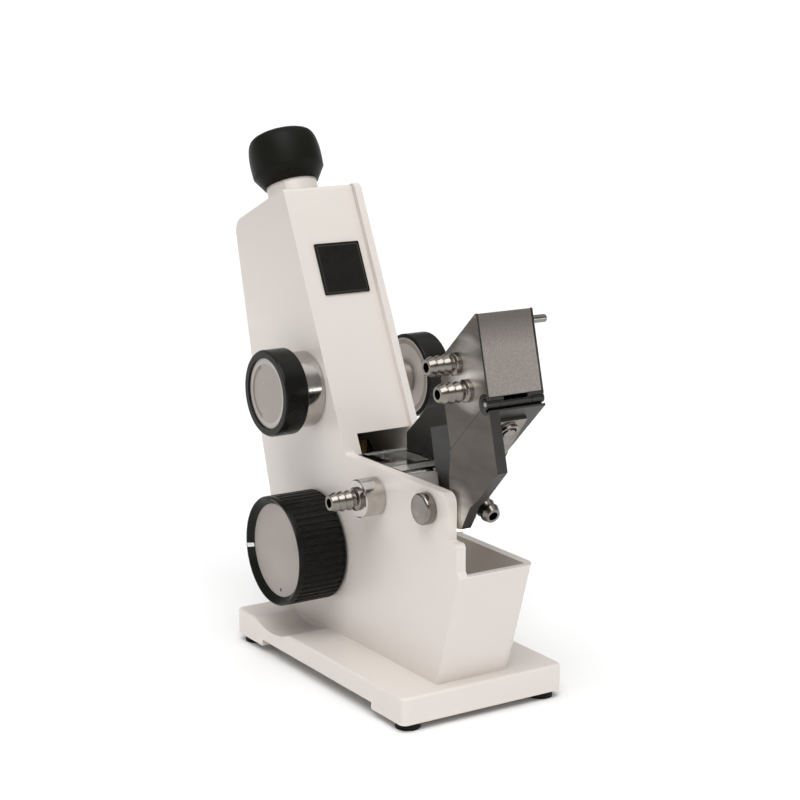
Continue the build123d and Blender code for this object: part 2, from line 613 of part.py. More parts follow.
CUP_LOW = 8.6
with BuildPart() as focus_ring:
    turned(eye(0), [(12.05, CUP_LOW), (12.6, CUP_LOW), (15.2, 14.4), (15.4, 24.0), (14.0, 28.0),
                    (10.6, 28.0), (10.6, 14.3), (12.05, 14.3)])
finish(focus_ring, "focus_ring", BLACK)

with BuildPart() as eyecup:
    with BuildSketch(Plane(origin=EYE_FOOT, x_dir=X_DIR, z_dir=-ACROSS)) as cup_section:
        with BuildLine():
            outer = Spline((16.9, 14.8), (17.1, 19.5), (16.9, 25.0), (16.0, 29.6), (14.5, 32.3), (12.0, 33.7),
                           (9.6, 34.2), tangents=((0.05, 1.0), (-1.0, 0.1)))
            Polyline(outer @ 1, (8.6, 33.6), (8.0, 30.0), (14.0, 28.0), (15.4, 24.0), (15.2, 14.4),
                     (12.6, CUP_LOW), (12.9, CUP_LOW), outer @ 0)
        make_face()
    revolve(cup_section.sketch, axis=Axis(EYE_FOOT, UP_AXIS))
finish(eyecup, "eyecup", BLACK)

with BuildPart() as lens_cell:
    disc(eye(-4.0), 10.45, 31.0, bore=9.0)
finish(lens_cell, "lens_cell", BRASS)

with BuildPart() as eye_lenses:
    turned(eye(21.0), [(0, -2.6), (5.0, -2.0), (9.0, 0), (9.0, 1.6), (5.0, 3.2), (0, 3.7)])
    turned(eye(0.0), [(0, -2.2), (5.0, -1.7), (9.0, 0), (9.0, 1.6), (5.0, 1.9), (0, 2.0)])
finish(eye_lenses, "eye_lenses", GLASS)

# ---------------------------------------------------------------- bushes in the walls
with BuildPart() as shaft_bushes:
    disc(shaft_plane(13.6, COMPENSATOR), 5.0, 9.0, bore=3.04)
    disc(shaft_plane(-24.0, COMPENSATOR), 5.0, 10.0, bore=3.04)
    disc(shaft_plane(13.0, INDEX_AXIS), 5.0, 7.4, bore=3.04)
    disc(shaft_plane(13.2, ROCKER), 3.0, 5.0, bore=2.04)
    disc(shaft_plane(-19.3, ROCKER), 3.0, 5.0, bore=2.04)
finish(shaft_bushes, "shaft_bushes", BRASS)

# ---------------------------------------------------------------- dispersion control, near side
SHAFT_R = 3.0
KNOB_R = 19.75
KNOB_X = (29.6, 41.4)
DIAL_R = 16.0
PINION_R = 5.0
PINION_TEETH = 16
PINION_X = (9.0, 12.5)

with BuildPart() as shaft_collars:
    turned(shaft_plane(NEAR_X, COMPENSATOR), [(5.05, 0), (17.0, 0), (17.4, 0.4), (17.4, 9.1), (17.1, 9.4),
                                              (14.0, 9.4),
                                              (14.0, 3.0), (5.05, 3.0)])
    turned(shaft_plane(-33.0, COMPENSATOR), [(3.5, 0), (8.0, 0), (8.0, 12.7), (5.05, 12.7), (5.05, 8.9),
                                             (3.5, 8.9)])
finish(shaft_collars, "shaft_collars", CHROME)

with BuildPart() as dispersion_knob:
    turned(shaft_plane(KNOB_X[0], COMPENSATOR), [
        (SHAFT_R, -5.8), (8.0, -5.8), (8.0, 0), (19.0, 0), (KNOB_R, 0.75), (KNOB_R, 10.8), (19.15, 11.8),
        (DIAL_R + 0.3, 11.8),
        (DIAL_R, 11.5), (DIAL_R, 10.0), (SHAFT_R, 10.0)])
finish(dispersion_knob, "dispersion_knob", BLACK)

with BuildPart() as dispersion_dial:
    disc(shaft_plane(KNOB_X[0] + 10.0, COMPENSATOR), DIAL_R, 0.8)
finish(dispersion_dial, "dispersion_dial", CHROME)


def pinion(x0, x1, centre, radius, teeth, groove):
    """Pinion on a cross shaft: a blank with straight tooth spaces."""
    disc(shaft_plane(x0, centre), radius, x1 - x0)
    with BuildSketch(shaft_plane(x0, centre)) as spaces:
        with PolarLocations(radius, teeth):
            Rectangle(*groove)
    extrude(spaces.sketch, amount=x1 - x0, mode=Mode.SUBTRACT)


with BuildPart() as dispersion_shaft:
    disc(shaft_plane(PINION_X[0], COMPENSATOR), SHAFT_R, KNOB_X[0] + 10.0 - PINION_X[0])
    pinion(*PINION_X, COMPENSATOR, PINION_R, PINION_TEETH, (1.6, 0.9))
finish(dispersion_shaft, "dispersion_shaft", STEEL)

# ---------------------------------------------------------------- dispersion drum, far side
DRUM_X = (-47.0, -34.0)
DRUM_DIAL_T = 0.8
with BuildPart() as dispersion_drum:
    turned(shaft_plane(DRUM_X[0], COMPENSATOR), [
        (SHAFT_R, 2.0), (16.0, 2.0), (16.0, 0), (19.0, 0), (KNOB_R, 0.75), (KNOB_R, 12.25), (19.0, 13.0),
        (18.0, 13.0),
        (18.0, 12.0), (SHAFT_R, 12.0)])
finish(dispersion_drum, "dispersion_drum", BLACK)

with BuildPart() as drum_dial:
    disc(shaft_plane(DRUM_X[1] - 1.0, COMPENSATOR), 18.0, DRUM_DIAL_T, bore=SHAFT_R)
finish(drum_dial, "drum_dial", CHROME)

with BuildPart() as drum_shaft:
    disc(shaft_plane(DRUM_X[0] + 2.0, COMPENSATOR), SHAFT_R, -DRUM_X[0] - 2.0 - PINION_X[0])
    pinion(-PINION_X[1], -PINION_X[0], COMPENSATOR, PINION_R, PINION_TEETH, (1.6, 0.9))
finish(drum_shaft, "drum_shaft", STEEL)

# ---------------------------------------------------------------- index knob
INDEX_R = 25.1
INDEX_X = (20.7, 45.2)
FACE_R = 21.4
FACE_X = 42.6
LIP_DEPTH = 2.5
FLUTES = 48
INDEX_PINION_R = (ROCKER - INDEX_AXIS).length / 9
SECTOR_R = INDEX_PINION_R * 8

with BuildPart() as index_knob:
    turned(shaft_plane(INDEX_X[0], INDEX_AXIS), [
        (24.4, 0), (INDEX_R, 0.7), (INDEX_R, 23.9), (24.7, 24.5), (24.2, 24.5), (FACE_R, 24.5 - LIP_DEPTH),
        (FACE_R, FACE_X - 0.8 - INDEX_X[0]), (SHAFT_R, FACE_X - 0.8 - INDEX_X[0]), (SHAFT_R, 0.8), (8.0, 0.8),
        (8.0, 17.3), (21.0, 17.3), (21.0, 0)])
    with BuildSketch(shaft_plane(INDEX_X[0] + 1.4, INDEX_AXIS)) as flutes:
        with PolarLocations(INDEX_R + 0.45, FLUTES):
            Circle(1.15)
    extrude(flutes.sketch, amount=20.6, mode=Mode.SUBTRACT)
finish(index_knob, "index_knob", BLACK)

with BuildPart() as index_dial:
    disc(shaft_plane(FACE_X - 0.8, INDEX_AXIS), FACE_R, 0.8)
    drill(shaft_plane(FACE_X - 1, INDEX_AXIS + Vector(0, 2.5, -18.2)), 0.9, 2)
finish(index_dial, "index_dial", CHROME)

with BuildPart() as index_shaft:
    disc(shaft_plane(9.5, INDEX_AXIS), SHAFT_R, FACE_X - 0.8 - 9.5)
    pinion(9.5, 12.5, INDEX_AXIS, INDEX_PINION_R - BACKLASH, 16, (1.3, 0.8))
finish(index_shaft, "index_shaft", STEEL)

# ---------------------------------------------------------------- rocker with sector, mirror and glass scale
TO_INDEX = math.degrees(math.atan2(INDEX_AXIS.Z - ROCKER.Z, INDEX_AXIS.Y - ROCKER.Y))
SECTOR_HALF = 24.0


def polar(radius, angle):
    return (radius * math.cos(math.radians(angle)), radius * math.sin(math.radians(angle)))


def fan(x, thickness, inner, outer, half, mode=Mode.ADD):
    """Ring sector about the rocker shaft, centred on the index pinion."""
    with BuildSketch(shaft_plane(x, ROCKER)) as sector:
        with BuildLine():
            low, mid, high = (polar(outer, TO_INDEX + turn) for turn in (-half, 0, half))
            ThreePointArc(low, mid, high)
            Line(high, polar(inner, TO_INDEX + half))
            ThreePointArc(polar(inner, TO_INDEX + half), polar(inner, TO_INDEX),
                          polar(inner, TO_INDEX - half))
            Line(polar(inner, TO_INDEX - half), low)
        make_face()
    return extrude(sector.sketch, amount=thickness, mode=mode)


def spoke(x, thickness, reach, width):
    with BuildSketch(shaft_plane(x, ROCKER)) as arm:
        with Locations(Location((0, 0), TO_INDEX)):
            with Locations((reach / 2, 0)):
                Rectangle(reach, width)
    return extrude(arm.sketch, amount=thickness)


with BuildPart() as sector_gear:
    fan(9.6, 2.8, SECTOR_R - 7, SECTOR_R - BACKLASH, SECTOR_HALF)
    spoke(9.6, 2.8, SECTOR_R - 4, 8)
    disc(shaft_plane(9.6, ROCKER), 5.0, 2.8)
    with BuildSketch(shaft_plane(9.6, ROCKER)) as spaces:
        tooth_pitch = 360 / 128
        for count in range(-8, 9):
            with Locations(Location(polar(SECTOR_R - BACKLASH, TO_INDEX + count * tooth_pitch),
                                    TO_INDEX + count * tooth_pitch)):
                Rectangle(1.3, 0.8)
    extrude(spaces.sketch, amount=2.8, mode=Mode.SUBTRACT)
    drill(shaft_plane(9, ROCKER), 2.0, 4)
finish(sector_gear, "sector_gear", BRASS)

with BuildPart() as rocker_shaft:
    disc(shaft_plane(-19.0, ROCKER), 2.0, 36.9)
finish(rocker_shaft, "rocker_shaft", STEEL)

MIRROR_FACE = Vector(0, 0.459, 0.889)
CARRIER_TOP = 2.8
carrier_plane = Plane(origin=ROCKER, x_dir=X_DIR, z_dir=MIRROR_FACE)
with BuildPart() as mirror_carrier:
    with BuildSketch(carrier_plane.offset(-3.0)):
        Rectangle(16, 22)
    extrude(amount=CARRIER_TOP + 3.0)
    drill(shaft_plane(-9, ROCKER), 2.0, 18)
finish(mirror_carrier, "mirror_carrier", BLACK)

with BuildPart() as sample_mirror:
    with BuildSketch(carrier_plane.offset(CARRIER_TOP)):
        Rectangle(15, 21)
    extrude(amount=1.6)
finish(sample_mirror, "sample_mirror", GLASS)

with BuildPart() as scale_arm:
    disc(shaft_plane(-12.8, ROCKER), 5.0, 2.0)
    spoke(-12.8, 2.0, 24.5, 8)
    fan(-12.8, 2.0, 20.5, 24.5, 20)
    drill(shaft_plane(-13, ROCKER), 2.0, 3)
finish(scale_arm, "scale_arm", BRASS)

with BuildPart() as glass_scale:
    fan(-10.8, 1.2, 22, 33, 20)
finish(glass_scale, "glass_scale", GLASS)

# ---------------------------------------------------------------- incident prism seat
BRIGHT_X = 13.2  # the bright edge strip beside the shade plate
SHADE_T = 2.4
SHADE_X = 13.1
RECESS_X = -13.4
PIVOT_PIN_R = 0.55
SHADE_LOW = 144.2
box_outline = [slope_point(0, SEAT_GAP), slope_point(front_edge_a(SEAT_GAP), SEAT_GAP), BOX_TOP, BOX_BACK]
front_point = lambda z, inset: CHEEK_TIP + NOSE_UP * ((z - CHEEK_TIP.Z) / NOSE_UP.Z) - NOSE_OUT * inset
handle_root = Vector(0, 81.0, 171.5)
shade_pivot = front_point(BOX_TOP.Z - 1.6, SHADE_T / 2)
incident_prism_section = [slope_point(a, h) for a, h in ((9, SEAT_GAP), (29, SEAT_GAP), (27, 8), (11, 8))]

with BuildPart() as incident_seat:
    slab(-BOX_X, BOX_X, box_outline, [0.5, 0.5, 0.6, 0.6])
    # recess for the shade plate
    cut_slab(RECESS_X, BRIGHT_X, [front_point(SHADE_LOW - 0.2, SHADE_T + 0.1),
                                  front_point(SHADE_LOW - 0.2, -3),
                                    front_point(BOX_TOP.Z + 2, -3),
                                    front_point(BOX_TOP.Z + 2, SHADE_T + 0.1)])
    # hinge: room for the fixed barrels and for the fixed seat, then the middle barrel
    for x in (-BOX_X - 1, BARREL_X - 0.15):
        drill(shaft_plane(x, HINGE), HINGE_R + 0.35, BOX_X - BARREL_X + 1.15)
    disc(shaft_plane(-BARREL_X + 0.15, HINGE), HINGE_R, 2 * BARREL_X - 0.3)
    drill(shaft_plane(-BOX_X - 1, HINGE), 1.0, 2 * BOX_X + 2)
    cut_slab(-7.05, 7.05, incident_prism_section)
    # light inlet through the front, behind the shade plate
    inlet_root = slope_point(19, 8)
    with BuildSketch(Plane(origin=inlet_root, x_dir=X_DIR, z_dir=NOSE_OUT)):
        with Locations((0, -6)):
            Rectangle(12, 10)
    extrude(amount=40, mode=Mode.SUBTRACT)
    lock_root = slope_point(4, 0)
    lock_plane = Plane(origin=(-10.5, lock_root.Y, lock_root.Z), x_dir=X_DIR, z_dir=OUTWARD)
    drill(lock_plane.offset(8.7), 4.5, 30)
    drill(lock_plane.offset(-1), 1.6, 12)
    drill(shaft_plane(-BOX_X - 1, handle_root), 1.7, 3)
    drill(shaft_plane(-BOX_X - 1, shade_pivot), PIVOT_PIN_R, 2 * BOX_X + 2)
finish(incident_seat, "incident_seat", STEEL)

with BuildPart() as incident_prism:
    slab(-7.0, 7.0, incident_prism_section)
finish(incident_prism, "incident_prism", GLASS)

SPIGOT_POINTS = [Vector(0, 70.7, 154.4), Vector(0, 79.0, 144.7)]
with BuildPart() as seat_spigots:
    for point in SPIGOT_POINTS:
        hose_spigot(shaft_plane(BOX_X, point), collar=4.8)
finish(seat_spigots, "seat_spigots", CHROME)

with BuildPart() as seat_pins:
    disc(shaft_plane(-23.0, handle_root), 1.7, 11.0)
    fillet(seat_pins.edges().group_by(Axis.X)[0], 0.6)
    disc(shaft_plane(-BOX_X + 0.05, shade_pivot), PIVOT_PIN_R, 2 * BOX_X - 0.1)
finish(seat_pins, "seat_pins", CHROME)

with BuildPart() as lock_screw:
    disc(lock_plane.offset(-3.0), 1.0, 12.0)
    disc(lock_plane.offset(9.0), 4.0, 8.0)
    with BuildSketch(lock_plane.offset(9.0)) as grip:
        with PolarLocations(4.2, 16):
            Circle(0.5)
    extrude(grip.sketch, amount=8.0, mode=Mode.SUBTRACT)
finish(lock_screw, "lock_screw", CHROME)

# ---------------------------------------------------------------- shade plate
with BuildPart() as shade_plate:
    slab(-SHADE_X, SHADE_X, [front_point(SHADE_LOW, SHADE_T), front_point(SHADE_LOW, 0),
                             front_point(BOX_TOP.Z - 0.5, 0),
                             front_point(BOX_TOP.Z - 0.5, SHADE_T)], [0.3, 0.5, 1.1, 1.1])
    drill(shaft_plane(-SHADE_X - 1, shade_pivot), PIVOT_PIN_R + 0.05, 2 * SHADE_X + 2)
finish(shade_plate, "shade_plate", STEEL)

# ---------------------------------------------------------------- reflector under the prism
REFLECTOR_TIP = Vector(0, 62.0, 80.0)
reflector_run = (REFLECTOR_TIP - REFLECTOR_AXIS).normalized()
reflector_across = Vector(0, -reflector_run.Z, reflector_run.Y)
with BuildPart() as reflector:
    disc(shaft_plane(-3.0, REFLECTOR_AXIS), 2.0, NEAR_X + 3.0)
    corners = [REFLECTOR_AXIS + reflector_run * reach + reflector_across * side
               for reach, side in ((0, -0.75), (12, -0.75), (12, 0.75), (0, 0.75))]
    slab(-3.0, 8.5, corners)
finish(reflector, "reflector", CHROME)

with BuildPart() as reflector_knob:
    disc(shaft_plane(NEAR_X + 0.3, REFLECTOR_AXIS), 6.9, 4.5)
    fillet(reflector_knob.edges().group_by(Axis.X)[-1], 1.4)
    drill(shaft_plane(NEAR_X - 1, REFLECTOR_AXIS), 2.0, 3)
finish(reflector_knob, "reflector_knob", CHROME)
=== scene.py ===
import json
import math

import bpy
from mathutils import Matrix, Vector

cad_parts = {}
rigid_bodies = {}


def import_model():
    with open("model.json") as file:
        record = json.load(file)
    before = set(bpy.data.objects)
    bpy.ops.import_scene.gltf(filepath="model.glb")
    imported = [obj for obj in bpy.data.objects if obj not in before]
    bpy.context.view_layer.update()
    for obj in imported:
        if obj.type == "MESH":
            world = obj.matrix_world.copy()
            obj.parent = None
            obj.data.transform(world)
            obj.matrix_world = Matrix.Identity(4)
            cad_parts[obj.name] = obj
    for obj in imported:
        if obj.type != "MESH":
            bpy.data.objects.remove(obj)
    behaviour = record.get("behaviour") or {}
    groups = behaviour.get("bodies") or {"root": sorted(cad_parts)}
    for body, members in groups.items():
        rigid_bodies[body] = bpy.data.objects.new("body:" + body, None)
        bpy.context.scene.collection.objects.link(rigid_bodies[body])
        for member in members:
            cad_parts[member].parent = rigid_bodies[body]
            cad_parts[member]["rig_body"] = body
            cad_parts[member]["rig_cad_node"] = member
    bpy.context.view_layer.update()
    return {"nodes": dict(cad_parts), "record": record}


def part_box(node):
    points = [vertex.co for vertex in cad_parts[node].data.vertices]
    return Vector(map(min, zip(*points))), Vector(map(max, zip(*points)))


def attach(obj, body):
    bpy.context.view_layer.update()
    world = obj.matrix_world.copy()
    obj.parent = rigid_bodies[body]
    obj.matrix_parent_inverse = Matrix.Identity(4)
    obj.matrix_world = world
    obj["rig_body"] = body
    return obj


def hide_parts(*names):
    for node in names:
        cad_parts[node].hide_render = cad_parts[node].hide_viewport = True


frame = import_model()

# ---------------------------------------------------------------- casing
# Two castings, a base plate and a hollow body, with a flat cover screwed to the body's far side.
# All three, and the eyepiece sleeve, are sprayed in the same warm off-white enamel, which leaves
# a slight orange peel and rounds every edge a little.

MM = 0.001


class Wire:
    """A shader socket that can stand in a sum. Each operator adds one Math node."""

    def __init__(self, finish, socket):
        self.finish = finish
        self.socket = socket

    def __add__(self, other):
        return self.finish.math("ADD", self, other)

    def __sub__(self, other):
        return self.finish.math("SUBTRACT", self, other)

    def __mul__(self, other):
        return self.finish.math("MULTIPLY", self, other)

    def __rsub__(self, other):
        return self.finish.math("SUBTRACT", other, self)

    def __gt__(self, other):
        return self.finish.math("GREATER_THAN", self, other)

    def __lt__(self, other):
        return self.finish.math("LESS_THAN", self, other)

    __radd__ = __add__
    __rmul__ = __mul__


class Finish:
    """A material, and the one method that adds nodes to it."""

    FACING, PLACE = 1, 3  # outputs of the coordinate node: surface direction, and point on the piece

    def __init__(self, name):
        self.material = bpy.data.materials.new(name)
        self.material.use_nodes = True
        self.tree = self.material.node_tree
        self.shader = self.tree.nodes["Principled BSDF"]

    def node(self, kind, settings=None, inputs=None, out=0):
        made = self.tree.nodes.new("ShaderNode" + kind)
        for setting, value in (settings or {}).items():
            if setting == "stops":
                for element, (place, level) in zip(made.color_ramp.elements, value):
                    element.position = place
                    element.color = (level, level, level, 1.0)
            else:
                setattr(made, setting, value)
        for name, value in (inputs or {}).items():
            self.feed(made.inputs[name], value)
        return Wire(self, made.outputs[out])

    def feed(self, socket, value):
        if isinstance(value, Wire):
            self.tree.links.new(value.socket, socket)
        elif isinstance(value, tuple) and socket.type == "RGBA":
            socket.default_value = (*value, 1.0)
        else:
            socket.default_value = value

    def noise(self, scale, detail, stretch=(1.0, 1.0, 1.0)):
        """Clouds in the piece's own space. A stretch under one draws them out along that axis."""
        place = self.node("TexCoord", out=self.PLACE)
        stretched = self.node("Mapping", {}, {"Vector": place, "Scale": stretch})
        return self.node("TexNoise", {}, {"Vector": stretched, "Scale": scale, "Detail": detail})

    def ramp(self, amount, *stops):
        """A soft step, given as two pairs of amount and level."""
        return self.node("ValToRGB", {"stops": stops}, {0: amount})

    def split(self, output):
        vector = self.node("TexCoord", out=output)
        parts = self.node("SeparateXYZ", {}, {0: vector})
        return [Wire(self, parts.socket.node.outputs[axis]) for axis in range(3)]

    def axes(self):
        """The x, y and z of a point, in metres."""
        return self.split(self.PLACE)

    def axes_of_normal(self):
        """The x, y and z of the way a surface faces, on the piece itself."""
        return self.split(self.FACING)

    def around(self, centre_y_mm, centre_z_mm):
        """Distance in metres from a cross axis, and the angle round it in radians."""
        _, y, z = self.axes()
        across, up = y - centre_y_mm * MM, z - centre_z_mm * MM
        distance = self.node("Math", {"operation": "SQRT"}, {0: across * across + up * up})
        return distance, self.math("ARCTAN2", up, across)

    def math(self, operation, first, second):
        return self.node("Math", {"operation": operation}, {0: first, 1: second})

    def blend(self, amount, low, high):
        return self.node("Mix", {"data_type": "RGBA"}, {0: amount, 6: low, 7: high}, out=2)

    def surface(self, **inputs):
        names = {"colour": "Base Color", "metal": "Metallic", "rough": "Roughness", "coat": "Coat Weight",
                 "coat_rough": "Coat Roughness", "clear": "Transmission Weight", "ior": "IOR",
                 "shine": "Specular IOR Level"}
        for name, value in inputs.items():
            self.feed(self.shader.inputs[names[name]], value)

    def relief(self, height, depth_mm, strength):
        """Raise or sink the surface by a height of nought to one, and give back the finished material."""
        bumped = self.node("Bump", {}, {"Strength": strength, "Distance": depth_mm * MM, "Height": height})
        self.feed(self.shader.inputs["Normal"], bumped)
        return self.material


SHADED_FROM_MM = 150.0
SHADE_PER_METRE = 12.0


def enamel():
    """Warm off-white, with a little dust, and a painted shade that deepens slowly up the near wall of the
    body.
    """
    paint = Finish("casing_enamel")
    cloud = paint.noise(14.0, 3.0)
    peel = paint.noise(900.0, 2.0)
    dust = paint.ramp(paint.noise(260.0, 4.0), (0.70, 0.0), (0.82, 1.0))
    z = paint.axes()[2]
    tone = paint.blend(cloud, (0.690, 0.635, 0.590), (0.745, 0.690, 0.645))
    # painted shade: x-facing enamel darkens above SHADED_FROM_MM, standing for the shade on the upper near
    # wall
    high = paint.ramp((z - SHADED_FROM_MM * MM) * SHADE_PER_METRE, (0.0, 0.0), (1.0, 1.0))
    near_wall = paint.axes_of_normal()[0] > 0.7
    tone = paint.blend(high * near_wall * 0.75, tone, (0.500, 0.445, 0.410))
    paint.surface(colour=paint.blend(dust * 0.12, tone, (0.55, 0.49, 0.43)), rough=0.36 + cloud * 0.10,
                  coat=0.35, coat_rough=0.22)
    return paint.relief(peel, 0.05, 0.35)


def only(piece):
    """Make one object the active and the only selected one."""
    bpy.ops.object.select_all(action="DESELECT")
    piece.select_set(True)
    bpy.context.view_layer.objects.active = piece


def apply_modifiers(piece):
    only(piece)
    for modifier in list(piece.modifiers):
        bpy.ops.object.modifier_apply(modifier=modifier.name)


MERGE_WITHIN_MM = 0.002
FLAT_WITHIN_DEGREES = 0.6


def softened(node, body, material, width_mm, name, segments=3, sharp=30.0, edge=None):
    """A copy of a machined or cast piece with its loose triangles joined and its edges eased.
    Its eased edges take the edge material, where there is one. Sharp is the least angle that is eased."""
    piece = frame["nodes"][node].copy()
    piece.data = piece.data.copy()
    piece.parent = None
    piece.name = piece.data.name = name
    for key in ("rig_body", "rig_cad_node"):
        if key in piece:
            del piece[key]
    bpy.context.scene.collection.objects.link(piece)
    piece.data.materials.clear()
    piece.data.materials.append(material)
    if edge:
        piece.data.materials.append(edge)
    only(piece)
    bpy.ops.object.mode_set(mode="EDIT")
    bpy.ops.mesh.select_all(action="SELECT")
    bpy.ops.mesh.remove_doubles(threshold=MERGE_WITHIN_MM * MM)
    bpy.ops.mesh.dissolve_limited(angle_limit=math.radians(FLAT_WITHIN_DEGREES))
    bpy.ops.object.mode_set(mode="OBJECT")
    if width_mm:
        bevel = piece.modifiers.new("eased", "BEVEL")
        bevel.width = width_mm * MM
        bevel.segments = segments
        bevel.limit_method = "ANGLE"
        bevel.angle_limit = math.radians(sharp)
        bevel.use_clamp_overlap = True
        bevel.material = 1 if edge else -1
    apply_modifiers(piece)
    bpy.ops.object.shade_smooth_by_angle(angle=math.radians(sharp + 5))
    piece.modifiers.new("flats_flat", "WEIGHTED_NORMAL").keep_sharp = True
    apply_modifiers(piece)
    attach(piece, body)
    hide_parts(node)


casing_enamel = enamel()
softened("base_casting", "stand", casing_enamel, 0.5, "base_plate")
softened("housing_shell", "stand", casing_enamel, 0.7, "body_casting")
softened("side_cover", "stand", casing_enamel, 0.4, "side_cover_painted")
softened("eyepiece_tube", "stand", casing_enamel, 0.3, "eyepiece_sleeve")

# ---------------------------------------------------------------- black mouldings
# Knobs and drum are moulded in black phenolic with a fine satin skin, and the focus ring likewise.
# The eyecup and the four feet are rubber, duller and slightly grained.

POINTER_RADII_MM = (21.6, 24.2)
POINTER_ARC = (-3.06, -2.98)
POINTER_FACE_MM = 42.4


def moulded_black(name, mark=None):
    """Black phenolic. A mark is the axis, in y and z, round which one white pointer line is painted."""
    black = Finish(name)
    grain = black.noise(1400.0, 3.0)
    wear = black.noise(120.0, 4.0)
    if mark:
        distance, angle = black.around(*mark)
        ring = (distance > POINTER_RADII_MM[0] * MM) * (distance < POINTER_RADII_MM[1] * MM)
        line = ring * (black.axes()[0] > POINTER_FACE_MM * MM)
        line = line * (angle < POINTER_ARC[1]) * (angle > POINTER_ARC[0])
        colour = black.blend(line, (0.006, 0.006, 0.005), (0.75, 0.73, 0.70))
    else:
        colour = black.blend(wear, (0.0045, 0.0044, 0.0032), (0.009, 0.0085, 0.007))
    black.surface(colour=colour, rough=0.20 + wear * 0.16, shine=0.16)
    return black.relief(grain, 0.03, 0.25)


def soft_rubber():
    rubber = Finish("soft_rubber")
    grain = rubber.noise(1100.0, 4.0)
    bloom = rubber.noise(60.0, 3.0)
    rubber.surface(colour=rubber.blend(bloom, (0.0050, 0.0050, 0.0036), (0.0095, 0.0095, 0.0075)),
                   rough=0.34 + bloom * 0.2, shine=0.10)
    return rubber.relief(grain, 0.04, 0.35)


INDEX_AXIS = (-30.5, 54.4)
black_moulding = moulded_black("moulded_black")
marked_moulding = moulded_black("moulded_black_with_pointer", INDEX_AXIS)
rubber_skin = soft_rubber()
softened("index_knob", "index", marked_moulding, 0.15, "index_knob_moulding", 2, 35.0)
softened("dispersion_knob", "dispersion", black_moulding, 0.3, "dispersion_knob_moulding",
         2, 35.0)
softened("dispersion_drum", "drum", black_moulding, 0.3, "dispersion_drum_moulding",
         2, 35.0)
softened("focus_ring", "focus", black_moulding, 0.2, "focus_ring_moulding", 2, 35.0)
softened("eyecup", "focus", rubber_skin, 0.0, "eyecup_rubber", 2, 50.0)
softened("rubber_feet", "stand", rubber_skin, 0.3, "feet_rubber", 2, 35.0)

# ---------------------------------------------------------------- bright metal fittings
# Collars, spigots and small knobs are turned brass under chrome plate; the case screws are plain steel.
# Fine turning lines run round them, and the plate is slightly clouded by handling.


def plated(name, low, high, rough, depth_mm, metal=1.0):
    """Turned metal, clouded between a low and a high colour, with lines of that depth round it."""
    plate = Finish(name)
    cloud = plate.noise(180.0, 3.0)
    lines = plate.noise(500.0, 2.0, (6.0, 0.6, 0.6))
    plate.surface(colour=plate.blend(cloud, low, high), metal=metal, rough=rough + cloud * 0.12)
    return plate.relief(lines, depth_mm, 0.3)


chrome_plate = plated("chrome_plate", (0.40, 0.375, 0.35), (0.62, 0.59, 0.56), 0.10, 0.03)
dark_plate = plated("worn_dark_plate", (0.12, 0.105, 0.09), (0.36, 0.33, 0.30), 0.14, 0.04)
turned_steel = plated("turned_steel", (0.26, 0.24, 0.22), (0.46, 0.44, 0.41), 0.22, 0.05)
turned_brass = plated("turned_brass", (0.55, 0.40, 0.16), (0.75, 0.58, 0.28), 0.22, 0.05)
softened("shaft_collars", "stand", chrome_plate, 0.2, "collars_chromed", 2, 35.0)
softened("union_collar", "stand", chrome_plate, 0.25, "union_chromed", 2, 35.0)
softened("fixed_spigots", "stand", dark_plate, 0.2, "spigots_chromed", 2, 25.0)
softened("seat_spigots", "incident", dark_plate, 0.2, "seat_spigots_chromed", 2, 25.0)
softened("seat_pins", "incident", dark_plate, 0.1, "seat_pins_chromed", 2, 35.0)
softened("reflector_knob", "reflector", dark_plate, 0.2, "reflector_knob_chromed", 2, 25.0)
softened("lock_screw", "lock", dark_plate, 0.15, "lock_screw_chromed", 2, 35.0)
softened("prism_clamp", "stand", dark_plate, 0.2, "prism_clamp_plated", 2, 35.0)
softened("condenser_bezel", "stand", dark_plate, 0.2, "condenser_bezel_chromed", 2, 35.0)
softened("case_screws", "stand", turned_steel, 0.15, "screws_steel", 2, 35.0)

# ---------------------------------------------------------------- prism seats
# Both seats are blocks of dark blackened bronze, milled flat and then rubbed, so the flats keep
# long soft streaks. Their eased edges are bright, partly rubbed bare metal and partly a painted highlight.
# The shade plate over the light inlet is hammer-painted.

HINGE_AXIS = (91.19, 141.01)
HINGE_RADIUS_MM = 4.4
REAR_LEAF_MM = 9.05
SPIGOT_PAINTED_HIGHLIGHT = (79.5, 151.5)
FOOT_PAINTED_HIGHLIGHT = (71.5, 90.0)
HIGHLIGHT_FADES_PER_METRE = 62.0


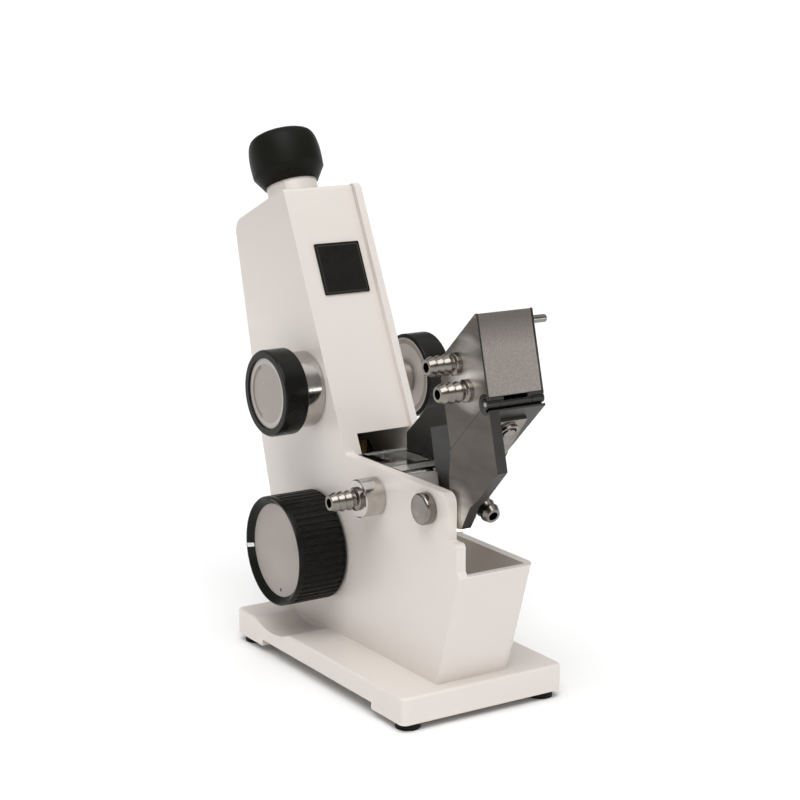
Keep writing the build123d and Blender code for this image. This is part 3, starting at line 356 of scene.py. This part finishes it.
def milled_metal(name, highlight_at, rear_black):
    """Rubbed bronze with a painted highlight, one bright patch on the side faces standing for light
    reflected there. Black round the hinge.
    """
    metal = Finish(name)
    streak = metal.noise(90.0, 4.0, (1.0, 0.35, 1.6))
    fine = metal.noise(800.0, 2.0, (1.0, 0.12, 1.0))
    reach = metal.around(*highlight_at)[0]
    # painted highlight: a bright patch round the given point, on the side faces only, with less metal in it
    painted_highlight = metal.ramp(reach * HIGHLIGHT_FADES_PER_METRE + (0.5 - streak) * 0.5, (0.0, 1.0), (1.0, 0.0))
    painted_highlight = painted_highlight * (metal.axes_of_normal()[0] > 0.5)
    tone = metal.blend(streak * 0.7, (0.045, 0.038, 0.031), (0.19, 0.168, 0.146))
    tone = metal.blend(painted_highlight * (0.45 + streak), tone, (0.86, 0.81, 0.75))
    hinge = metal.around(*HINGE_AXIS)[0]
    rim = metal.math("ABSOLUTE", metal.axes_of_normal()[0], 0.0) < 0.5
    black = metal.math("MAXIMUM", hinge < HINGE_RADIUS_MM * MM, rim)
    if rear_black:
        black = metal.math("MAXIMUM", black, metal.axes()[0] < REAR_LEAF_MM * MM)
    metal.surface(colour=metal.blend(black, tone, (0.012, 0.011, 0.009)),
                  metal=0.80 - black * 0.6 - painted_highlight * 0.3, rough=0.24 + streak * 0.18)
    return metal.relief(fine, 0.03, 0.35)


PLATE_TOP_MM = 163.0
TOP_SHADE_PER_METRE = 90.0


def hammer_paint():
    """Grey hammered paint, with a painted shade darkening it along the plate's top edge."""
    paint = Finish("hammer_paint")
    fleck = paint.noise(1900.0, 3.0)
    patch = paint.noise(70.0, 3.0)
    z = paint.axes()[2]
    # painted shade: the plate darkens towards its top edge
    painted_top_shade = paint.ramp((z - PLATE_TOP_MM * MM) * TOP_SHADE_PER_METRE, (0.0, 0.0), (1.0, 1.0))
    spots = paint.ramp(fleck, (0.35, 0.0), (0.68, 1.0))
    tone = paint.blend(spots * 0.7, (0.215, 0.188, 0.168), (0.375, 0.338, 0.312))
    tone = paint.blend(patch * 0.35, tone, (0.22, 0.195, 0.175))
    paint.surface(colour=paint.blend(painted_top_shade * 0.75, tone, (0.075, 0.065, 0.055)), metal=0.2, rough=0.45,
                  coat=0.15, coat_rough=0.35)
    return paint.relief(fleck, 0.06, 0.5)


# painted highlight, in part: the seats' eased edges take this light metal, standing both for rubbed bare
# metal and for the highlight the edges catch
bright_edge = plated("rubbed_edge_and_highlight", (0.55, 0.52, 0.48), (0.80, 0.77, 0.73), 0.30, 0.02, metal=0.35)
lower_metal = milled_metal("milled_lower_seat", FOOT_PAINTED_HIGHLIGHT, True)
upper_metal = milled_metal("milled_upper_seat", SPIGOT_PAINTED_HIGHLIGHT, False)
softened("fixed_seat", "stand", lower_metal, 0.3, "fixed_seat_milled", edge=bright_edge)
softened("incident_seat", "incident", upper_metal, 0.3, "incident_seat_milled",
         edge=bright_edge)
softened("shade_plate", "shade", hammer_paint(), 0.2, "shade_plate_painted")

# ---------------------------------------------------------------- black metalwork
# The bracket that carries the prisms, the name plate and all the optical tubes inside are blackened
# metal. The name plate is left blank inside a fine raised border.


def blackened():
    black = Finish("matt_black")
    cloud = black.noise(220.0, 4.0)
    black.surface(colour=black.blend(cloud, (0.012, 0.011, 0.009), (0.030, 0.028, 0.024)), metal=0.3,
                  rough=0.5 + cloud * 0.15)
    return black.relief(black.noise(1500.0, 2.0), 0.03, 0.4)


BORDER_MM = (0.9, 1.25)


def plate_finish(low, high):
    """Satin black with one fine lighter line, a little way in from the plate's edge."""
    plate = Finish("plate_black")
    cloud = plate.noise(240.0, 4.0)
    x, _, z = plate.axes()

    def inside(step_mm):
        """One where a point is at least that far in from the plate's edge."""
        step = step_mm * MM
        across = (x > low.x + step) * (x < high.x - step)
        return across * (z > low.z + step) * (z < high.z - step)

    line = inside(BORDER_MM[0]) - inside(BORDER_MM[1])
    tone = plate.blend(cloud, (0.006, 0.006, 0.005), (0.014, 0.013, 0.011))
    plate.surface(colour=plate.blend(line, tone, (0.045, 0.042, 0.038)), rough=0.30 + cloud * 0.2,
                  shine=0.15)
    return plate.relief(line, 0.05, 0.6)


matt_black = blackened()
softened("prism_bracket", "stand", matt_black, 0.3, "bracket_blackened")
plate_black = plate_finish(*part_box("name_plate"))
softened("name_plate", "stand", plate_black, 0.1, "name_plate_blank")

# ---------------------------------------------------------------- dials
# Each knob carries a thin silver disc, brushed straight across, let into its face. The two on the
# compensator are divided round the edge with fine engraved lines, filled black.


def brushed_silver(name, ticks=None, low=(0.31, 0.275, 0.248), high=(0.42, 0.38, 0.35)):
    """Matt silver, marked with ticks where they are given: the axis they go round, their inner and
    outer radius in mm, how many make a turn, and half the arc they fill."""
    silver = Finish(name)
    brush = silver.noise(900.0, 2.0, (1.0, 0.06, 1.0))
    cloud = silver.noise(75.0, 5.0, (1.0, 0.5, 1.0))
    face = silver.blend(cloud, low, high)
    if ticks:
        axis, inner, outer, count, half_arc = ticks
        distance, angle = silver.around(*axis)
        turns = silver.math("FRACT", angle * (count / (2 * math.pi)) + 0.5 * count, 0.0)
        dark = (distance > inner * MM) * (distance < outer * MM) * (turns < 0.5)
        dark = dark * (silver.math("ABSOLUTE", angle, 0.0) > math.pi - half_arc)
        rim = (distance > outer * MM) * 0.5
        face = silver.blend(rim, face, (0.62, 0.58, 0.55))
        face = silver.blend(dark * 0.85, face, (0.03, 0.028, 0.025))
    silver.surface(colour=face, metal=0.35, rough=0.44 + brush * 0.12)
    return silver.relief(brush, 0.02, 0.3)


COMPENSATOR_AXIS = (-41.9, 124.8)
KNOB_TICKS = (COMPENSATOR_AXIS, 11.7, 13.6, 84, math.radians(66))
DRUM_TICKS = (COMPENSATOR_AXIS, 15.2, 17.3, 120, math.pi)
silver_face = brushed_silver("brushed_silver")
ticked_face = brushed_silver("brushed_silver_arc", KNOB_TICKS)
# painted light: the drum's divided dial takes a far lighter copy of the brushed silver, standing for the
# light that falls on it
lit_divided_face = brushed_silver("brushed_silver_divided_lit", DRUM_TICKS, (0.56, 0.52, 0.49), (0.74, 0.70, 0.67))
softened("index_dial", "index", silver_face, 0.1, "index_dial_silver", 2, 35.0)
softened("dispersion_dial", "dispersion", ticked_face, 0.1, "dispersion_dial_silver", 2, 35.0)
softened("drum_dial", "drum", lit_divided_face, 0.1, "drum_dial_silver", 2, 35.0)

# ---------------------------------------------------------------- glass
# The ledge window and the prisms are clear polished glass; the mirrors are silvered.
# Small pieces inside, which need no easing, take the finish of whatever they are made of.


def clear_glass():
    glass = Finish("clear_glass")
    smear = glass.noise(60.0, 3.0)
    glass.surface(colour=(0.86, 0.90, 0.90), rough=0.02 + smear * 0.03, clear=1.0, ior=1.52)
    return glass.material


def silvered():
    mirror = Finish("silvered_glass")
    smear = mirror.noise(70.0, 3.0)
    mirror.surface(colour=(0.86, 0.86, 0.86), metal=1.0, rough=0.02 + smear * 0.05)
    return mirror.material


clear = clear_glass()
silver = silvered()
softened("window_glass", "stand", clear, 0.1, "ledge_window")

FINISH_BY_SLOT = {
    "glass": clear,
    "mirror": silver,
    "black_metal": matt_black,
    "brass": turned_brass,
    "steel": turned_steel,
    "chrome": chrome_plate,
}
for part in frame["record"]["subparts"]:
    finish = FINISH_BY_SLOT.get(part["material_slot"])
    if finish and part["node"] in frame["nodes"]:
        data = frame["nodes"][part["node"]].data
        data.materials.clear()
        data.materials.append(finish)

# ---------------------------------------------------------------- floor, light and camera
# A wide pale bench top under soft daylight from above the knob side. A small lamp beyond the prisms
# lights the far edges, and the camera stands in front, a little above.

BENCH_SIZE = 80.0
bpy.ops.mesh.primitive_plane_add(size=BENCH_SIZE, location=(0, 0, 0))
bench = bpy.context.object
bench.name = "bench_top"
pale = Finish("pale_bench")
pale.surface(colour=(0.96, 0.96, 0.96), rough=0.8, shine=0.1)
bench.data.materials.append(pale.material)

STRIP_PLACE = (-0.85, 1.25, 0.26)
MIDDLE = (0.0, 0.0, 0.11)
bpy.ops.object.light_add(type="AREA", location=STRIP_PLACE)
strip = bpy.context.object
strip.name = "strip"
strip.data.shape = "RECTANGLE"
strip.data.size, strip.data.size_y = 0.25, 0.16
strip.data.energy = 0.7
strip.rotation_euler = (Vector(MIDDLE) - Vector(STRIP_PLACE)).to_track_quat("-Z", "Y").to_euler()

DAYLIGHT_FROM = (0.30, 0.40, 0.87)
bpy.ops.object.light_add(type="SUN", location=(0.7, 0.7, 1.6))
daylight = bpy.context.object
daylight.name = "diffused_window"
daylight.data.energy = 1.85
daylight.data.angle = math.radians(50)
daylight.rotation_euler = Vector(DAYLIGHT_FROM).to_track_quat("Z", "Y").to_euler()

# The room goes from a white floor through dim walls to a white ceiling, by height.
ROOM_LEVELS = ((0.12, 1.0), (0.24, 0.25), (0.66, 0.28), (0.82, 1.0))
world = bpy.data.worlds.new("studio")
world.use_nodes = True
nodes, links = world.node_tree.nodes, world.node_tree.links
direction = nodes.new("ShaderNodeTexCoord")
height = nodes.new("ShaderNodeSeparateXYZ")
rings = nodes.new("ShaderNodeValToRGB")
for place, level in ROOM_LEVELS:
    stop = rings.color_ramp.elements.new(place)
    stop.color = (level, level, level, 1.0)
rings.color_ramp.elements[0].color = (1.0, 1.0, 1.0, 1.0)
links.new(direction.outputs["Generated"], height.inputs[0])
links.new(height.outputs["Z"], rings.inputs[0])
links.new(rings.outputs[0], nodes["Background"].inputs[0])
nodes["Background"].inputs[1].default_value = 1.0
bpy.context.scene.world = world
bpy.context.scene.view_settings.view_transform = "Standard"

CAMERA_PLACE = (0.46314, 0.72857, 0.31247)
AZIMUTH, ELEVATION = 147.34, 12.27
bpy.ops.object.camera_add(location=CAMERA_PLACE)
camera = bpy.context.object
camera.data.sensor_width = 36.0
camera.data.lens = 89.42
turn, tilt = math.radians(AZIMUTH), math.radians(ELEVATION)
back = Vector((math.sin(turn) * math.cos(tilt), -math.cos(turn) * math.cos(tilt), math.sin(tilt)))
camera.rotation_euler = back.to_track_quat("Z", "Y").to_euler()
bpy.context.scene.camera = camera

bpy.context.view_layer.update()
